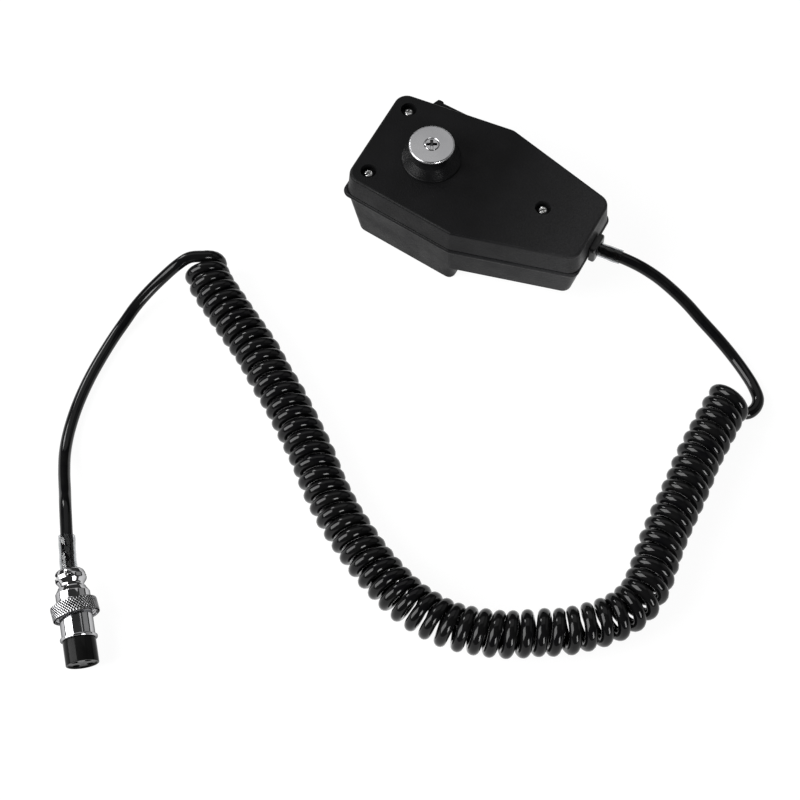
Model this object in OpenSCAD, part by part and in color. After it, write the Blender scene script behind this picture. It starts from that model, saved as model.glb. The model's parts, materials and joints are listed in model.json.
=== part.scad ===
// Hand microphone on a curly cord, in millimetres.
// The front (grille) lies on z = 0, the long axis runs along X with the cord leaving
// at +X, and the push-to-talk lever is on the +Y side.

/* [Housing] */
// Length of the housing at its parting line
body_l = 96.6; // [94:0.2:99]
// Width at the cord end
tail_w = 31; // [29:0.5:33]
// Width at the widest place, halfway along
max_w = 56.4; // [54:0.2:58]
// Width at the wide end
wide_w = 46.8; // [45:0.2:48]
// Overall thickness of the two shells
body_h = 34.5; // [34:0.1:35.5]
// Height of the parting line
seam_z = 23.5; // [23:0.1:24]
// Height of the step between the capsule bay and the slimmer cord end
step_z = 9; // [8:0.1:9.5]
// Thickness of the moulded walls
wall = 2; // [1.8:0.1:2.2]
// Corner radius of the plan outline
corner_r = 3.6; // [3:0.2:5]

/* [Hang button] */
// Distance of the hang button from the widest place
button_x = -22; // [-24:0.5:-20]
// Diameter of the chromed disc
disc_d = 17.6; // [16:0.2:19]
// Height of the disc's top face
disc_z = 44; // [43:0.2:45]
// Thickness of the disc
disc_t = 1.6; // [1.4:0.1:2.4]
// Diameter of the button's base
base_d = 23; // [20:0.5:24]
// Diameter of the neck that a hanger grips
neck_d = 9.6; // [9:0.2:11]

/* [Talk lever] */
// Outward reach of the lever's face from the centre plane
lever_y = 28.2; // [28:0.1:28.6]
// Lowest and highest edge of the lever
lever_z = [17, 30.5];
// Place of the pivot pin
pivot = [-7, 20.8];
// Diameter of the pivot pin
pin_d = 2.5; // [2.4:0.1:2.6]

/* [Cord] */
// Diameter of the cord
cord_d = 4.6; // [4.4:0.1:4.8]
// Outer diameter of the curly part
coil_d = 17.4; // [17:0.1:17.8]
// Height of the cord where it leaves the housing
exit_z = 23.5; // [23:0.1:24]

/* [Plug] */
// Centre of the plug's mating face
plug_nose = [-38.5, -232, 6.7];
// Compass direction that the plug points in
plug_heading = -51; // [-55:1:-47]
// How far the plug's nose dips
plug_dip = 8; // [6:0.5:10]
// Diameter of the coupling ring
ring_d = 17; // [16.8:0.1:17.4]
// Diameter of the front barrel
barrel_d = 12; // [11.8:0.1:12.1]
// Diameter of the black insert
insert_d = 11.9; // [11.7:0.1:12.2]
// Overall length of the plug
plug_l = 35.5; // [35.2:0.1:36]

/* [Hidden] */

eps = 0.01;
fine = 48;
cord_r = cord_d / 2;
floor_z = cord_r + 0.05;
half_l = body_l / 2;

// Housing details
top_inset = 0.9;
ceiling_t = 2.2;
edge_r = 1.1;
rim_h = 2.2;
rim_step = 0.5;
wide_draft = 5.5;
side_draft = 2.3;
tail_draft = 4.4;
step_x = 1;
step_run = 5.5;
seam_gap = 0.35;
shell_bosses = [[-40.6, 16.4], [-40.6, -16.4], [26, 0]];
recess_d = 6.4;
recess_floor_z = 31.5;
back_boss_d = 8.2;
front_boss_d = 7.2;
boss_foot_z = 8;
grille_r = 14;
slot_w = 1.8;
slot_pitch = 3.6;

// Inside the housing
capsule_r = 14.5;
capsule_z = 3.2;
capsule_top_z = 14.6;
board_z = 16.5;
board_t = 1.6;
board_x = [-26, 19.5];
board_w = 28;
board_posts = [[-3.5, 11], [-3.5, -11], [13, 10.5], [13, -10.5]];
clamp_x = 38.5;
clamp_post_y = 7;
switch_x = -17;
switch_size = [12.8, 6.5, 5.8];
switch_y = 8.6;
spring_x = -29;
spring_z = 23.5;
spring_r = 2.4;
spring_y = [12.8, 19.6];

// Cord routes: hand-chosen places of the cord's centre
mic_route = [
    [36, 0, exit_z], [44, 0, exit_z], [52, 0, exit_z], [61, 0.5, exit_z], [68, 1, 22.2],
    [75, 1.3, 19.5], [82, 1, 16], [89, 0, 12.5], [96, -2, 9.5], [103, -4, 6.8],
    [109, -6, 4.6], [115, -8.7, 3], [120.5, -12, floor_z], [125, -15.5, floor_z],
    [128.5, -19.5, floor_z], [129, -24, floor_z], [126.5, -27.5, floor_z], [121, -29, floor_z]
];
coil_route = [
    [120, -27], [119.5, -36], [119.5, -46], [119.5, -57], [120.5, -68], [121, -78],
    [121.5, -88], [122.5, -98], [124, -108], [124, -118], [119, -129], [107.5, -140.5],
    [98.5, -146], [89, -152], [79, -156], [69, -158.5], [59, -158.5], [50, -157],
    [40, -153.5], [31, -149.5], [22, -144.5], [13, -139], [3, -131.5], [-6, -123.5],
    [-15, -116.5], [-27, -107.5], [-37, -101], [-47, -94], [-58.5, -87.5], [-68, -82],
    [-78, -76], [-84.5, -70]
];
plug_route = [
    [-84, -70, 14.8], [-89, -73, 15], [-92, -77.5, 13.5], [-95, -83, 10.5],
    [-97.8, -89.6, 7.5], [-99.8, -96.8, 5], [-100.6, -104, 3.3], [-101, -112, floor_z],
    [-100.5, -122, floor_z], [-99.5, -132, floor_z], [-97.5, -143, floor_z],
    [-94.5, -153.5, floor_z], [-90.5, -162.5, 3.5], [-85, -171, 6.5], [-79, -179, 10],
    [-73.5, -186.5, 13]
];

// Plug places, measured back from the mating face
lip_s = [8.9, 10.2];
ring_s = [17.4, 22.6];
shoulder_s = [23.2, 26.7];
neck_s = 28.3;
bulb_s = [29.1, 35];
insert_screw_s = 13.5;
lip_r = 6.7;
thread_r = 7.5;
shoulder_r = 6.2;
neck_r = 4.4;
bulb_r = 5.75;
clamp_roll = 40;
contact_ring_r = 3.5;
contact_r = 1.3;
contact_bore_r = 0.8;
contact_depth = 2.5;
clamp_screw_y = 3.85;
clamp_screw_seat = 2.7;

function unit(v) = v / norm(v);

// Half width of the parting-line outline at the place x
function half_width(x) = (max_w - (max_w - (x < 0 ? wide_w : tail_w)) * abs(x) / half_l) / 2;

// Corners of the plan outline, drawn in by its own amount at the sides and each end
function corners(side, wide, tail) =
    let (xw = -half_l + wide, xt = half_l - tail)
    let (yw = half_width(xw) - side, ym = max_w / 2 - side, yt = half_width(xt) - side)
    [[xw, -yw], [0, -ym], [xt, -yt], [xt, yt], [0, ym], [xw, yw]];

// Arc that rounds the corner b of a counterclockwise outline
function fillet(a, b, c, r, n) =
    let (u = unit(a - b), v = unit(c - b))
    let (half = acos(u * v) / 2)
    let (centre = b + unit(u + v) * r / sin(half), from = b + u * r / tan(half) - centre)
    let (start = atan2(from[1], from[0]), turn = 180 - 2 * half)
    [for (i = [0 : n]) centre + r * [cos(start + turn * i / n), sin(start + turn * i / n)]];

function rounded(points, r, n = 5) =
    let (count = len(points))
    [for (i = [0 : count - 1])
        each fillet(points[(i + count - 1) % count], points[i], points[(i + 1) % count], r, n)];

function outline(side, wide, tail, r = corner_r) = rounded(corners(side, wide, tail), r);

// Solid through flat outlines of equal length, given as [height, outline]
module loft(levels) {
    n = len(levels[0][1]);
    last = len(levels) - 1;
    polyhedron(
        points = [for (level = levels) each [for (p = level[1]) [p[0], p[1], level[0]]]],
        faces = concat(
            [[for (i = [0 : n - 1]) i]],
            [[for (i = [n - 1 : -1 : 0]) last * n + i]],
            [for (k = [0 : last - 1], i = [0 : n - 1])
                let (j = (i + 1) % n)
                [k * n + i, (k + 1) * n + i, (k + 1) * n + j, k * n + j]]
        )
    );
}

// Direction of a route at its place i
function heading(route, i) =
    unit(route[min(i + 1, len(route) - 1)] - route[max(i - 1, 0)]);

// Tube of radius r swept along a route that is never vertical
module tube(route, r, sides = 10) {
    last = len(route) - 1;
    rings = [for (i = [0 : last])
        let (t = heading(route, i), side = unit(cross(t, [0, 0, 1])), up = cross(side, t))
        [for (k = [0 : sides - 1])
            route[i] + r * (cos(360 * k / sides) * side + sin(360 * k / sides) * up)]];
    polyhedron(
        points = [for (ring = rings) each ring],
        faces = concat(
            [[for (k = [sides - 1 : -1 : 0]) k]],
            [[for (k = [0 : sides - 1]) last * sides + k]],
            [for (i = [0 : last - 1], k = [0 : sides - 1])
                let (m = (k + 1) % sides)
                [i * sides + k, i * sides + m, (i + 1) * sides + m, (i + 1) * sides + k]]
        )
    );
}

module at_each(places) {
    for (p = places) translate([p[0], p[1], 0]) children();
}

module block(low, high) {
    translate(low) cube(high - low);
}

// Cylinder between two heights
module rod(r, z, facets = fine) {
    translate([0, 0, z[0]]) cylinder(r = r, h = z[1] - z[0], $fn = facets);
}

module pipe(r_out, r_in, z) {
    difference() {
        rod(r_out, z);
        rod(r_in, [z[0] - 1, z[1] + 1]);
    }
}

module cross_slot(size, w, z) {
    block([-size / 2, -w / 2, z[0]], [size / 2, w / 2, z[1]]);
    block([-w / 2, -size / 2, z[0]], [w / 2, size / 2, z[1]]);
}

// Children placed on the plug, with their Z axis running back from the mating face
module on_plug() {
    translate(plug_nose) rotate([0, 90 - plug_dip, plug_heading + 180]) children();
}

// Children placed on the plug and turned as the cord clamp is
module on_clamp() {
    on_plug() rotate(clamp_roll) children();
}

function plug_point(s) =
    plug_nose + s * [
        -cos(plug_dip) * cos(plug_heading),
        -cos(plug_dip) * sin(plug_heading),
        sin(plug_dip)
    ];

// Window for the talk lever through the side wall of both shells
module lever_window() {
    block([-36.5, 21, lever_z[0] - 0.3], [-9.9, 32, lever_z[1] + 0.3]);
}

// Notch for the strain relief in the cord-end wall
module cord_notch() {
    block([half_l - 4, -3.8, exit_z - 3.5], [half_l + 1, 3.8, exit_z + 3.5]);
}

module back_outer() {
    low = seam_gap;
    high = top_inset;
    loft([
        [seam_z, outline(low, low, low)],
        [body_h - edge_r, outline(high - 0.05, high - 0.05, high - 0.05)],
        [body_h - edge_r * 0.4, outline(high + 0.2, high + 0.2, high + 0.2)],
        [body_h, outline(high + edge_r, high + edge_r, high + edge_r)]
    ]);
}

module back_inner() {
    low = seam_gap + wall;
    high = top_inset + wall;
    loft([
        [seam_z - 1, outline(low, low, low, corner_r - wall)],
        [body_h - ceiling_t, outline(high, high, high, corner_r - wall)]
    ]);
}

module back_shell() {
    color("#161616")
    difference() {
        union() {
            difference() {
                back_outer();
                back_inner();
            }
            intersection() {
                union() {
                    at_each(shell_bosses) rod(back_boss_d / 2, [seam_z, body_h - 1]);
                    at_each([pivot]) rod(3.2, [lever_z[1] + 0.4, body_h - 1]);
                    block([spring_x - 2.5, 11, spring_z - 3], [spring_x + 2.5, 12.6, body_h - 1]);
                }
                back_outer();
            }
        }
        at_each(shell_bosses) {
            rod(recess_d / 2, [recess_floor_z, body_h + 1]);
            rod(1.5, [seam_z - 1, body_h]);
        }
        at_each([pivot]) rod(pin_d / 2 + 0.01, [seam_z, 32]);
        at_each([[button_x, 0]]) rod(1.7, [seam_z, body_h + 1]);
        lever_window();
        cord_notch();
    }
}

// Space under the slim cord end, with a hollow fillet up from the resting face
module step_cutter(shift_x, shift_z) {
    steps = 6;
    x0 = step_x + shift_x;
    z1 = step_z + shift_z;
    curve = [for (i = [0 : steps])
        [x0 + step_run * (1 - cos(90 * i / steps)), shift_z + step_z * sin(90 * i / steps)]];
    translate([0, 40, 0]) rotate([90, 0, 0]) linear_extrude(80)
        polygon(concat([[x0, -5]], curve, [[half_l + 5, z1], [half_l + 5, -5]]));
}

module front_outer() {
    bow = 0.35;
    difference() {
        loft([
            [0, outline(side_draft + 1, wide_draft + 1.2, tail_draft + 1)],
            [0.8, outline(side_draft + 0.2, wide_draft + 0.2, tail_draft + 0.2)],
            [2.5, outline(side_draft - 0.3, wide_draft - 0.7, tail_draft - 0.5)],
            [seam_z - rim_h - 0.4, outline(rim_step + bow, rim_step + bow, rim_step + bow)],
            [seam_z - rim_h, outline(0.15, 0.15, 0.15)],
            [seam_z - 0.5, outline(0, 0, 0)],
            [seam_z, outline(0.3, 0.3, 0.3)]
        ]);
        step_cutter(0, 0);
    }
}

module front_inner() {
    difference() {
        loft([
            [wall, outline(side_draft + wall, wide_draft + wall, tail_draft + wall, 3)],
            [seam_z - rim_h, outline(rim_step + wall, rim_step + wall, rim_step + wall, 3)],
            [seam_z + 1, outline(rim_step + wall, rim_step + wall, rim_step + wall, 3)]
        ]);
        step_cutter(-wall, wall);
    }
}

module grille_slots() {
    for (y = [-3 : 3]) {
        half_slot = sqrt(grille_r * grille_r - y * y * slot_pitch * slot_pitch);
        translate([button_x, y * slot_pitch, 0]) {
            block([-half_slot, -slot_w / 2, -1], [half_slot, slot_w / 2, wall + 1]);
            at_each([[-half_slot, 0], [half_slot, 0]]) rod(slot_w / 2, [-1, wall + 1]);
        }
    }
}

module front_shell() {
    clamp_top = exit_z + cord_r;
    color("#141414")
    difference() {
        union() {
            difference() {
                front_outer();
                front_inner();
            }
            intersection() {
                union() {
                    at_each(shell_bosses) rod(front_boss_d / 2, [boss_foot_z, seam_z]);
                    at_each(board_posts) rod(3, [wall / 2, board_z]);
                    at_each([pivot]) rod(3.2, [wall / 2, lever_z[0] - 0.4]);
                    at_each([[clamp_x, clamp_post_y], [clamp_x, -clamp_post_y]])
                        rod(2.6, [step_z + 1, seam_z]);
                    block([clamp_x - 2.5, -5, step_z + 1], [clamp_x + 2.5, 5, exit_z - cord_r - 0.1]);
                    at_each([[button_x, 0]]) pipe(capsule_r + 1.4, capsule_r + 0.2, [wall / 2, 7]);
                }
                front_outer();
            }
            at_each([[clamp_x, clamp_post_y], [clamp_x, -clamp_post_y]])
                rod(2.6, [seam_z - 1, clamp_top]);
        }
        at_each(shell_bosses) rod(1.25, [14, seam_z + 1]);
        at_each(board_posts) rod(1, [11, board_z + 1]);
        at_each([pivot]) rod(pin_d / 2 + 0.01, [12.9, seam_z]);
        at_each([[clamp_x, clamp_post_y], [clamp_x, -clamp_post_y]]) rod(1, [14, clamp_top + 1]);
        grille_slots();
        lever_window();
        cord_notch();
    }
}

// Cross-recess pan-head screw; the head sits on z = 0 and the shank hangs below it
module pan_screw(head_r, head_h, shank_r, length) {
    difference() {
        union() {
            rod(head_r, [0, head_h * 0.6], 32);
            translate([0, 0, head_h * 0.6])
                cylinder(r1 = head_r, r2 = head_r * 0.7, h = head_h * 0.4, $fn = 32);
            rod(shank_r, [-length, eps], 24);
        }
        cross_slot(head_r * 1.2, head_r * 0.26, [head_h * 0.35, head_h + 1]);
    }
}

module shell_screws() {
    color("#c8c8c8")
    at_each(shell_bosses) translate([0, 0, recess_floor_z]) pan_screw(2.15, 1.7, 1.2, 16);
}

module hang_disc() {
    color("#d8d8d8")
    translate([button_x, 0, 0])
    difference() {
        rotate_extrude($fn = 64) polygon([
            [0, disc_z - disc_t], [disc_d / 2 - 0.6, disc_z - disc_t], [disc_d / 2, disc_z - disc_t + 0.5],
            [disc_d / 2, disc_z - 0.6], [disc_d / 2 - 0.6, disc_z], [0, disc_z]
        ]);
        rod(1.7, [disc_z - 4, disc_z + 1]);
        translate([0, 0, disc_z - 1.4]) cylinder(r1 = 1.7, r2 = 3.1, h = 1.4 + eps, $fn = fine);
    }
}

module hang_base() {
    color("#121212")
    translate([button_x, 0, 0])
    difference() {
        rotate_extrude($fn = 64) polygon([
            [0, body_h], [base_d / 2, body_h], [base_d / 2, body_h + 0.7],
            [neck_d / 2 + 2.6, body_h + 3.6], [neck_d / 2, body_h + 3.9],
            [neck_d / 2, disc_z - disc_t], [0, disc_z - disc_t]
        ]);
        rod(1.7, [body_h - 1, disc_z]);
    }
}

module hang_screw() {
    color("#c0c0c0")
    translate([button_x, 0, 0])
    difference() {
        union() {
            translate([0, 0, disc_z - 1.35]) cylinder(r1 = 1.5, r2 = 2.85, h = 1.2, $fn = fine);
            rod(1.5, [28.6, disc_z - 1.3]);
        }
        cross_slot(3.6, 0.9, [disc_z - 1.3, disc_z]);
    }
}

module hang_lock_washer() {
    ceiling = body_h - ceiling_t;
    color("#a8a8a8") translate([button_x, 0, 0]) pipe(3.1, 1.6, [ceiling - 0.7, ceiling]);
}

module hang_nut() {
    top = body_h - ceiling_t - 0.7;
    color("#b0b0b0")
    translate([button_x, 0, 0])
    difference() {
        rod(3.2, [top - 2.4, top], 6);
        rod(1.52, [top - 4, top + 1]);
    }
}

// Plan of the talk lever: face, thumb tab and stop at the tip, and the rib that works the switch
module lever_plan() {
    tab = lever_y + 0.8;
    polygon([
        [-10.5, 26.2], [-14, lever_y - 1.3], [-21, lever_y - 0.4], [-31.6, lever_y],
        [-32.3, tab], [-34, tab], [-34.6, lever_y - 0.6], [-35.2, 26], [-35.2, 23.6],
        [-34.3, 21.2], [-33, 19.9], [-18.8, 19.9], [-18.6, 17], [-15.4, 17],
        [-15.2, 18.6], [-7, 18.2], [-5.5, 20.8], [-7, 23.4], [-10.3, 23.7]
    ]);
}

module ptt_lever() {
    hub_r = 2.9;
    color("#0f0f0f")
    difference() {
        union() {
            translate([0, 0, lever_z[0]]) linear_extrude(lever_z[1] - lever_z[0]) lever_plan();
            at_each([pivot]) rod(hub_r, lever_z);
            block([-32.5, 19.9, lever_z[0] - 1], [-20, 21.2, lever_z[1] + 1]);
        }
        at_each([pivot]) rod(pin_d / 2 + 0.05, [lever_z[0] - 1, lever_z[1] + 1]);
    }
}

module ptt_pivot_pin() {
    color("#b8b8b8") at_each([pivot]) rod(pin_d / 2, [13, 31.9]);
}

module ptt_return_spring() {
    turns = 6;
    per_turn = 12;
    wire_r = 0.3;
    route = [for (i = [0 : turns * per_turn])
        [spring_r * cos(360 * i / per_turn), spring_r * sin(360 * i / per_turn),
            (spring_y[1] - spring_y[0] - 2 * wire_r) * i / (turns * per_turn)]];
    color("#9a9a9a")
    translate([spring_x, spring_y[0] + wire_r, spring_z]) rotate([-90, 0, 0])
        tube(route, wire_r, 6);
}

module switch_body() {
    z = board_z + board_t;
    low = [switch_x - switch_size[0] / 2, switch_y, z];
    color("#202020")
    difference() {
        block(low, low + switch_size);
        block([switch_x - 0.9, 12, z + 1.5], [switch_x + 0.9, 16, z + 4.3]);
    }
}

module switch_plunger() {
    z = board_z + board_t;
    color("#8a1f1f") block([switch_x - 0.8, 13.2, z + 1.6], [switch_x + 0.8, 16.9, z + 4.2]);
}

module switch_terminals() {
    color("#c9c4b0")
    for (dx = [-4, 0, 4])
        translate([switch_x + dx, switch_y + 3.2, 0]) rod(0.45, [board_z - 1.2, board_z + board_t], 24);
}

module circuit_board() {
    color("#8a6a3a")
    difference() {
        block(
            [board_x[0], -board_w / 2, board_z],
            [board_x[1], board_w / 2, board_z + board_t]
        );
        at_each(board_posts) rod(1.2, [board_z - 1, board_z + board_t + 1]);
        for (dx = [-4, 0, 4])
            translate([switch_x + dx, switch_y + 3.2, 0])
                rod(0.5, [board_z - 1, board_z + board_t + 1], 24);
    }
}

module board_screws() {
    color("#c8c8c8")
    at_each(board_posts) translate([0, 0, board_z + board_t]) pan_screw(1.9, 1.3, 0.95, 6.5);
}

module load_resistor() {
    z = board_z + board_t + 1.1;
    color("#c9a46a")
    translate([4, -6, z]) rotate([0, 90, 0]) {
        rod(1.1, [-3, 3], 24);
        rod(0.3, [-5, 5], 24);
    }
}

module bypass_capacitor() {
    color("#b5651d")
    translate([2, 5, board_z + board_t]) {
        rod(2.2, [0.3, 2.1], 32);
        at_each([[-1.2, 0], [1.2, 0]]) rod(0.3, [0, 0.4], 24);
    }
}

module dust_screen() {
    color("#0a0a0a") translate([button_x, 0, 0]) rod(capsule_r, [wall, wall + 0.2]);
}

module capsule_gasket() {
    color("#1c1c1c")
    translate([button_x, 0, 0]) pipe(capsule_r, capsule_r - 2.5, [wall + 0.2, capsule_z]);
}

module capsule_cover() {
    color("#b4b4b4")
    translate([button_x, 0, 0])
    difference() {
        rod(capsule_r, [capsule_z, capsule_z + 0.8]);
        rod(1.2, [capsule_z - 1, capsule_z + 2], 24);
        for (ring = [1 : 3], k = [0 : 6 * ring - 1])
            rotate(360 * k / (6 * ring)) translate([3.3 * ring, 0, 0])
                rod(1, [capsule_z - 1, capsule_z + 2], 24);
    }
}

module capsule_case() {
    low = capsule_z + 0.8;
    color("#8f9296")
    translate([button_x, 0, 0])
    difference() {
        rod(capsule_r, [low, capsule_top_z]);
        rod(capsule_r - 1.2, [low - 1, capsule_top_z - 1.2]);
    }
}

module capsule_magnet() {
    color("#5a5a5c") translate([button_x, 0, 0]) rod(6.5, [8.8, capsule_top_z - 1.2]);
}

module capsule_pole() {
    color("#7d7f82") translate([button_x, 0, 0]) {
        rod(4.4, [7, 7.8]);
        rod(5, [7.8, 8.8]);
    }
}

module voice_coil() {
    color("#b87333") translate([button_x, 0, 0]) pipe(5.3, 4.7, [6, 7.6]);
}

module diaphragm() {
    rim = capsule_r - 1.2;
    color("#c9c9b4")
    translate([button_x, 0, 0])
    rotate_extrude($fn = 64) polygon([
        [0, 5], [3, 5.1], [5.5, 5.7], [8, 5.2], [rim, 5.2],
        [rim, 5.5], [8, 5.5], [5.5, 6], [3, 5.4], [0, 5.3]
    ]);
}

module capsule_pad() {
    color("#2a2a2a") translate([button_x, 0, 0]) rod(7, [capsule_top_z, board_z]);
}

module capsule_leads() {
    color("#b02020")
    for (y = [-4, 4])
        tube([[-33, y, capsule_top_z + 0.6], [-30.5, y, 15.4], [-28.3, y, 17.5],
            [-27, y, 19], [-25.2, y, 19.2], [-23, y, 18.7]], 0.5, 8);
}

module cord_wires() {
    color("#c8a020")
    for (side = [-1, 1], lane = [0, 1])
        tube([
            [36, side * 0.9, exit_z - 0.9 + 1.8 * lane],
            [33, side * (2.4 + 1.5 * lane), 22.5 + 0.9 * lane],
            [29.5, side * (5.4 + 1.8 * lane), 21.5 + 0.5 * lane],
            [25, side * (6.4 + 1.8 * lane), 20.6],
            [20.5, side * (6.4 + 1.8 * lane), 19.4],
            [17.5, side * (6.4 + 1.8 * lane), 18.8]
        ], 0.6, 8);
}

module cord_clamp() {
    z = exit_z + cord_r;
    color("#9a9a9a")
    difference() {
        block([clamp_x - 3, -10, z], [clamp_x + 3, 10, z + 1.2]);
        at_each([[clamp_x, clamp_post_y], [clamp_x, -clamp_post_y]]) rod(1.2, [z - 1, z + 3]);
    }
}

module cord_clamp_screws() {
    color("#c8c8c8")
    at_each([[clamp_x, clamp_post_y], [clamp_x, -clamp_post_y]])
        translate([0, 0, exit_z + cord_r + 1.2]) pan_screw(2, 1.3, 0.95, 9);
}

// Rubber bush whose outer and inner flanges hold the cord-end wall between them
module strain_relief() {
    flange = 4.8;
    neck = 3.6;
    color("#0c0c0c")
    difference() {
        union() {
            translate([half_l + 0.05, 0, exit_z]) rotate([0, 90, 0])
                linear_extrude(2.3) polygon(rounded(
                    [[-3.9, -flange], [3.9, -flange], [3.9, flange], [-3.9, flange]], 1.4));
            block([half_l - 4.4, -neck, exit_z - 3.3], [half_l + 0.1, neck, exit_z + 3.3]);
            block([half_l - 5.8, -flange, exit_z - 5], [half_l - 4.2, flange, exit_z + 5]);
        }
        translate([0, 0, exit_z]) rotate([0, 90, 0]) rod(cord_r + 0.5, [half_l - 7, half_l + 5]);
    }
}

module mic_end_sleeve() {
    color("#2c2c2c")
    translate([0, 0, exit_z]) rotate([0, 90, 0])
        pipe(cord_r + 0.5, cord_r, [half_l - 5.8, half_l + 12]);
}

module mic_lead() {
    color("#101010") tube(mic_route, cord_r);
}

module coiled_cord() {
    color("#0d0d0d") tube([for (p = coil_route) [p[0], p[1], coil_d / 2]], coil_d / 2, 12);
}

module plug_lead() {
    color("#101010") tube(concat(plug_route, [plug_point(plug_l + 3), plug_point(bulb_s[0])]), cord_r);
}

module plug_end_sleeve() {
    color("#2c2c2c") on_plug() pipe(cord_r + 0.6, cord_r, [bulb_s[1] - 2, plug_l + 9.5]);
}

// Tail of the plug that a saddle and a strap share: the part on one side of the split
module clamp_half(upper) {
    reach = 10;
    intersection() {
        rotate_extrude($fn = fine) polygon([
            [0, neck_s + 0.2], [neck_r, neck_s + 0.2], [neck_r + 0.3, bulb_s[0] + 0.6],
            [bulb_r - 0.05, bulb_s[0] + 1.9], [bulb_r, bulb_s[1] - 2.5],
            [bulb_r - 0.6, bulb_s[1] - 0.8], [bulb_r - 1.5, bulb_s[1]], [0, bulb_s[1]]
        ]);
        if (upper)
            block([-reach, -reach, neck_s], [-0.3, reach, bulb_s[1] + 1]);
        else
            block([0.3, -reach, neck_s], [reach, reach, bulb_s[1] + 1]);
    }
}

module clamp_screw_places() {
    for (y = [-clamp_screw_y, clamp_screw_y])
        translate([0, y, (bulb_s[0] + bulb_s[1]) / 2 + 0.3]) rotate([0, -90, 0]) children();
}

module plug_rear_body() {
    color("#d0d0d0") on_clamp()
    difference() {
        union() {
            rotate_extrude($fn = fine) polygon([
                [0, shoulder_s[0]], [shoulder_r, shoulder_s[0]], [shoulder_r, shoulder_s[1]],
                [neck_r, neck_s], [neck_r, neck_s + 0.2], [0, neck_s + 0.2]
            ]);
            clamp_half(false);
        }
        rod(cord_r + 0.7, [shoulder_s[0] - 1, plug_l + 1]);
        clamp_screw_places() rod(0.8, [-5, 5], 24);
    }
}

module plug_clamp() {
    color("#d0d0d0") on_clamp()
    difference() {
        clamp_half(true);
        rod(cord_r + 0.7, [neck_s + 0.2 - 1, plug_l + 1]);
        clamp_screw_places() rod(0.9, [-5, 8], 24);
        clamp_screw_places() rod(1.1, [clamp_screw_seat, 8], 24);
    }
}

module plug_clamp_screws() {
    color("#bdbdbd") on_clamp() clamp_screw_places() translate([0, 0, clamp_screw_seat])
        pan_screw(1, 0.75, 0.75, 6.3);
}

module plug_barrel() {
    inner_r = barrel_d / 2 - 0.8;
    color("#d4d4d4") on_plug()
    difference() {
        rotate_extrude($fn = 64) polygon([
            [inner_r, lip_s[0]], [lip_r - 0.3, lip_s[0]], [lip_r, lip_s[0] + 0.5],
            [lip_r, lip_s[1] - 0.5], [lip_r - 0.3, lip_s[1]], [barrel_d / 2, lip_s[1]],
            [barrel_d / 2, shoulder_s[0]], [inner_r, shoulder_s[0]]
        ]);
        translate([0, 0, insert_screw_s]) rotate([0, -90, 0]) rod(0.8, [0, 10], 24);
    }
}

module insert_screw() {
    color("#b0b0b0") on_plug() translate([0, 0, insert_screw_s]) rotate([0, -90, 0])
        rod(0.75, [5, barrel_d / 2 - 0.1], 24);
}

// Knurled ring: a thin collar turns on the barrel and the threaded skirt opens forward
module coupling_ring() {
    teeth = 60;
    tooth = 0.25;
    r = ring_d / 2;
    color("#c4c4c4") on_plug()
    difference() {
        union() {
            rod(r - tooth, ring_s, 96);
            translate([0, 0, ring_s[0] + 0.5]) linear_extrude(ring_s[1] - ring_s[0] - 1)
                polygon([for (k = [0 : 2 * teeth - 1])
                    (r - (k % 2) * 2 * tooth) * [cos(180 * k / teeth), sin(180 * k / teeth)]]);
        }
        rod(barrel_d / 2 + 0.1, [ring_s[0] - 1, ring_s[1] + 1]);
        rod(thread_r, [ring_s[0] - 1, ring_s[1] - 1.2]);
    }
}

module contact_places() {
    for (k = [0 : 3]) rotate(45 + 90 * k) translate([contact_ring_r, 0, 0]) children();
}

module plug_insert() {
    inner_r = barrel_d / 2 - 0.8;
    color("#0e0e0e") on_plug()
    difference() {
        union() {
            rod(insert_d / 2, [0, lip_s[0]], 64);
            rod(inner_r, [lip_s[0] - eps, 17]);
        }
        contact_places() rod(contact_r, [-1, 18], 24);
        translate([0, 0, insert_screw_s]) rotate([0, -90, 0]) rod(0.8, [4.9, 10], 24);
        block([-insert_d, -0.9, -1], [-insert_d / 2 + 1, 0.9, 6]);
    }
}

module socket_contacts() {
    color("#c9b37a") on_plug() contact_places()
    difference() {
        rod(contact_r, [contact_depth, 19], 24);
        rod(contact_bore_r, [-1, 8], 24);
    }
}

back_shell();
front_shell();
shell_screws();
hang_disc();
hang_base();
hang_screw();
hang_nut();
hang_lock_washer();
ptt_lever();
ptt_pivot_pin();
ptt_return_spring();
switch_body();
switch_plunger();
switch_terminals();
circuit_board();
board_screws();
load_resistor();
bypass_capacitor();
dust_screen();
capsule_gasket();
capsule_cover();
capsule_case();
capsule_magnet();
capsule_pole();
voice_coil();
diaphragm();
capsule_pad();
capsule_leads();
cord_wires();
cord_clamp();
cord_clamp_screws();
strain_relief();
mic_end_sleeve();
mic_lead();
coiled_cord();
plug_lead();
plug_end_sleeve();
plug_rear_body();
plug_clamp();
plug_clamp_screws();
plug_barrel();
insert_screw();
coupling_ring();
plug_insert();
socket_contacts();
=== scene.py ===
import json
import math

import bmesh
import bpy
from mathutils import Matrix, Vector


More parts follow.
